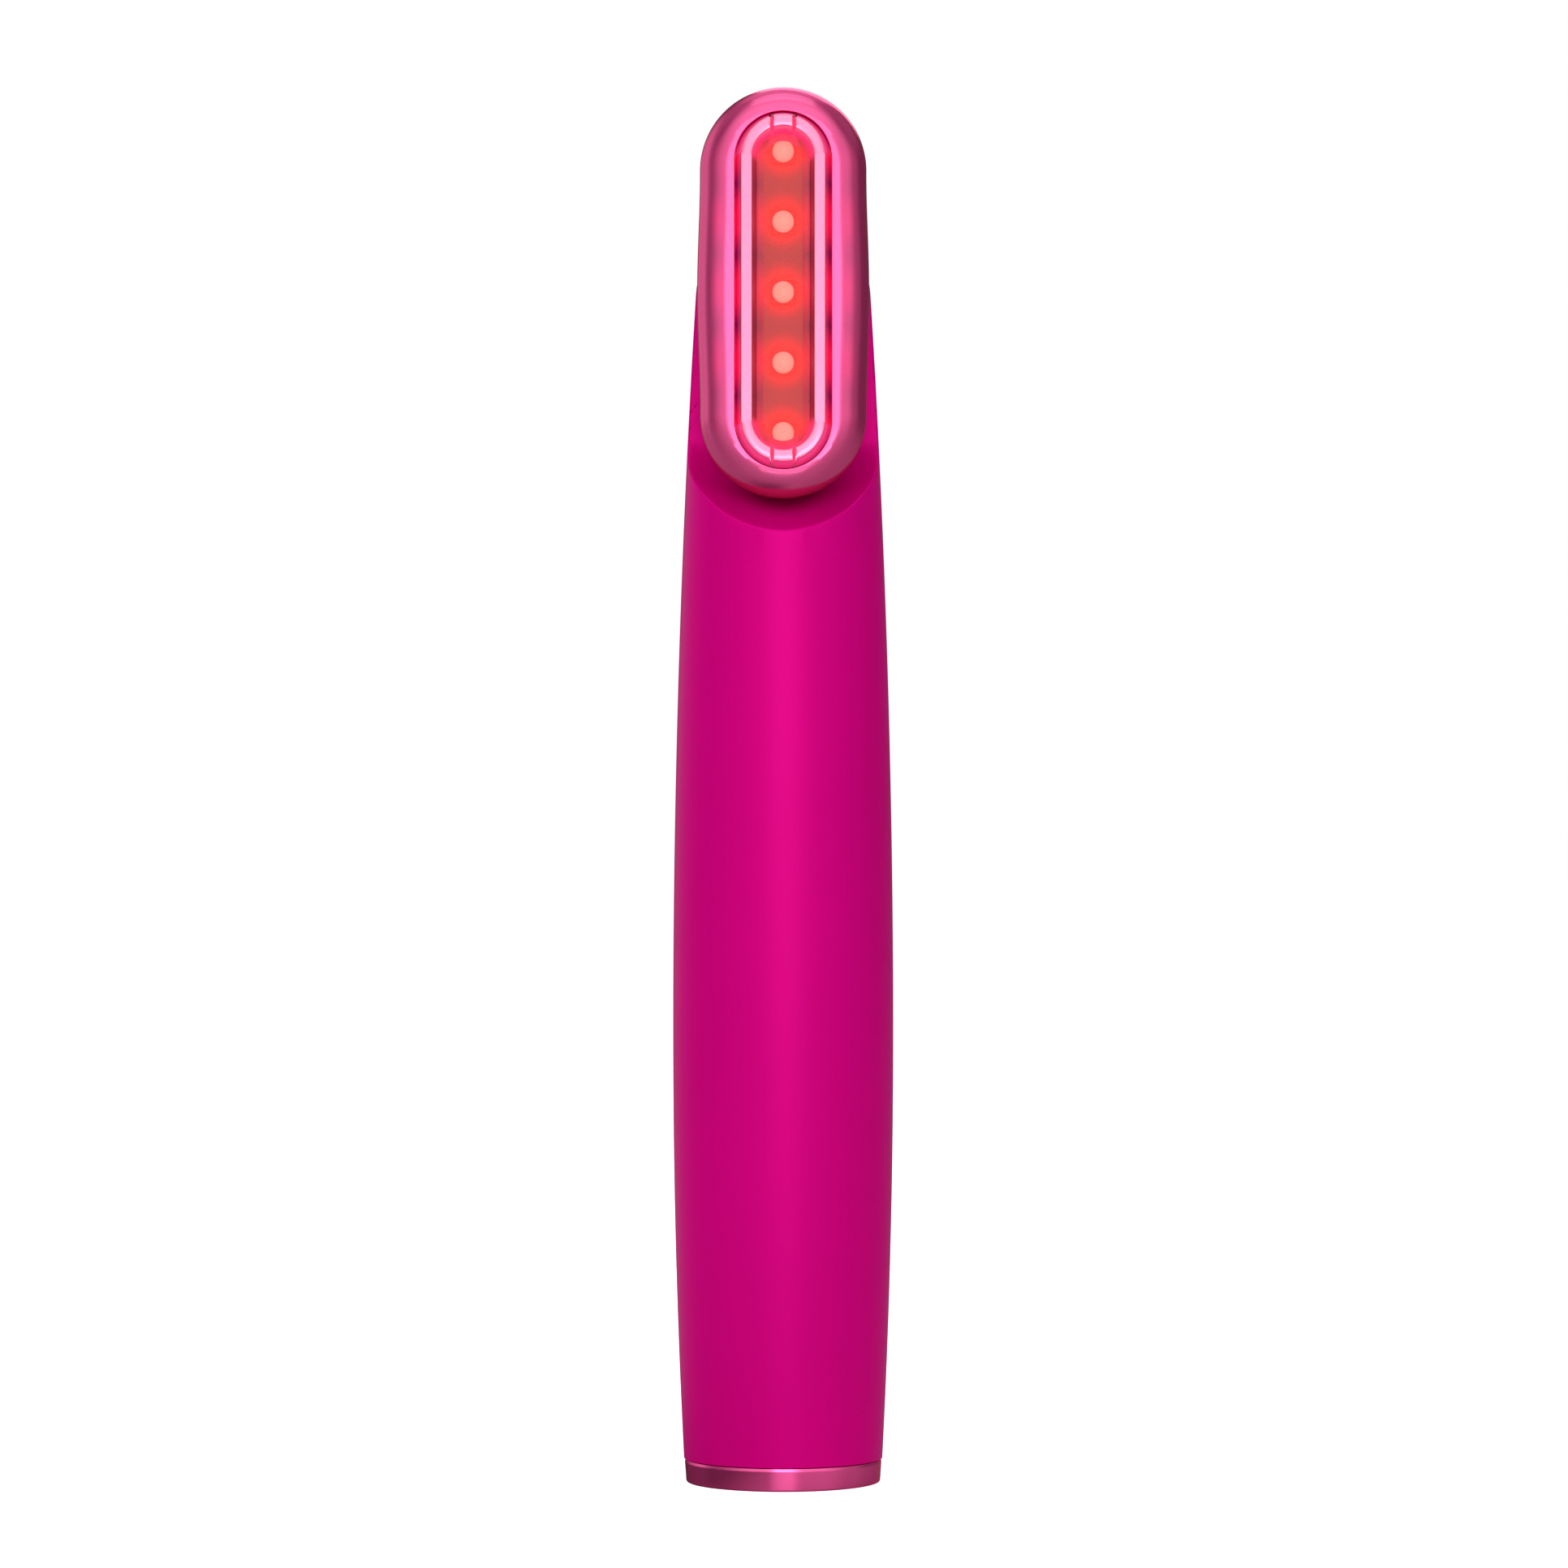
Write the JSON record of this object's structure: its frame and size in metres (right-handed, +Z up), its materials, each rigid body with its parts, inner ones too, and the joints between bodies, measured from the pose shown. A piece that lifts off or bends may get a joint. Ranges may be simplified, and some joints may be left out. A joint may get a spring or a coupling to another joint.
{
  "type": "skin firming wand",
  "caption": "Slim bowed handle with a rotating pill-shaped head: a raised split contact ring around a lit red window, a push button on the back and a metallic end cap.",
  "frame": {"origin": "centre of the flat underside of the end cap", "axes": "+Z up the handle to the head, the head faces -Y, +X to the right seen from the front"},
  "size_m": [0.0252, 0.023, 0.1576],
  "materials": {
    "body_plastic": "satin magenta",
    "head_plating": "metallic pink lacquer, satin",
    "contact_metal": "pale pink metallic, satin",
    "cap_metal": "metallic pink lacquer, satin",
    "window_plastic": "clear red",
    "light_lens": "milky, lit",
    "carrier_plastic": "translucent red",
    "inner_plastic": "moulded, off-white",
    "black_plastic": "moulded, black",
    "wire_sleeve": "matte",
    "seal_rubber": "matte",
    "pad_foam": "foam",
    "board_laminate": "green solder mask",
    "led_laminate": "red solder mask",
    "steel": "bright",
    "nickel": "bright",
    "gold": "gold plated",
    "weight_metal": "machined",
    "cell_wrap": "shrink sleeve",
    "bush_plastic": "acetal",
    "lens_clear": "frosted clear"
  },
  "bodies": {
    "handle": {"front_shell": "body_plastic", "rear_shell": "body_plastic", "end_cap": "cap_metal", "cap_seal": "seal_rubber", "chassis": "inner_plastic", "chassis_screws": "steel", "battery_cell": "cell_wrap", "battery_pad": "pad_foam", "battery_tabs": "nickel", "main_board": "board_laminate", "board_parts": "black_plastic", "board_screws": "steel", "tact_switch": "black_plastic", "indicator_led": "lens_clear", "indicator_lens": "lens_clear", "button_seal": "seal_rubber", "motor_can": "nickel", "motor_boot": "seal_rubber", "port_shell": "steel", "port_tongue": "black_plastic", "port_board": "board_laminate", "charge_lead": "wire_sleeve", "harness_socket": "inner_plastic", "handle_harness": "wire_sleeve", "swivel_bush": "bush_plastic", "glide_washer": "bush_plastic", "wave_washer": "steel"},
    "button": {"power_button": "head_plating", "switch_plunger": "black_plastic"},
    "rotor": {"motor_shaft": "steel", "motor_weight": "weight_metal"},
    "head": {"head_shell": "head_plating", "head_back_cover": "head_plating", "electrode_left": "contact_metal", "electrode_right": "contact_metal", "insulator_top": "contact_metal", "insulator_bottom": "contact_metal", "ring_carrier": "carrier_plastic", "led_window": "window_plastic", "led_board": "led_laminate", "led_1": "light_lens", "led_2": "light_lens", "led_3": "light_lens", "led_4": "light_lens", "led_5": "light_lens", "contact_pins": "gold", "swivel_shaft": "steel", "shaft_screws": "steel", "stop_washer": "steel", "retaining_clip": "steel", "head_harness": "wire_sleeve"}
  },
  "joints": [
    {"name": "head_swivel", "type": "hinge", "parent": "handle", "child": "head", "pos_m": [0, -0.0007, 0.1346], "axis": [0, -1, 0], "range_deg": [-90, 90]},
    {"name": "button_press", "type": "slide", "parent": "handle", "child": "button", "axis": [0, -1, 0], "range_m": [0, 0.0004], "stiffness_N_per_m": 1500, "springref_m": -0.0005},
    {"name": "rotor_spin", "type": "hinge", "parent": "handle", "child": "rotor", "pos_m": [0, -0.0032, 0.086], "axis": [0, 0, 1], "continuous": true}
  ]
}
